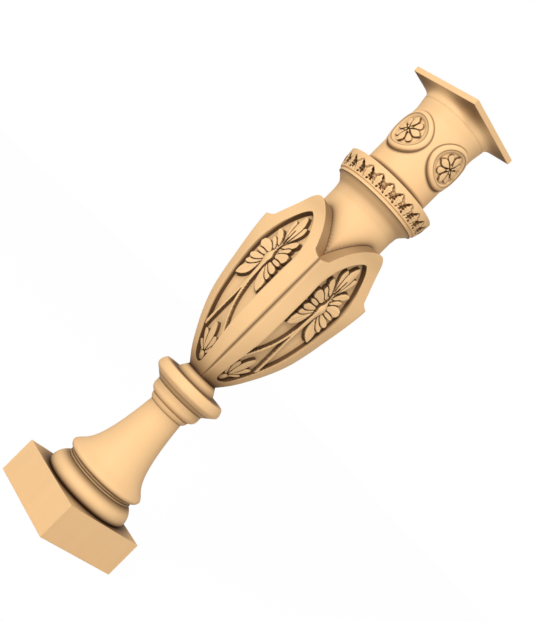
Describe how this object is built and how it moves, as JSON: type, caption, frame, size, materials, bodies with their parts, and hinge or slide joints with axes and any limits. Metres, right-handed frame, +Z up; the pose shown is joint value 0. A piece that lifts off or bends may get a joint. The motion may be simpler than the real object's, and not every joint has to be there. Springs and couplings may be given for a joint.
{
  "type": "stair baluster",
  "caption": "Turned and carved wooden baluster: square plinth, bell foot, four-petalled bulb with flower panels, leaf collar and a square cap, for a stair or landing rail.",
  "frame": {"origin": "middle of the plinth's underside", "axes": "+Z up along the turning axis; +X and +Y out of two neighbouring sides of the plinth"},
  "size_m": [0.1452, 0.1452, 0.72],
  "materials": {
    "wood": "smooth sanded hardwood, darker in the carved hollows"
  },
  "bodies": {
    "root": {"baluster": "wood"}
  },
  "joints": []
}
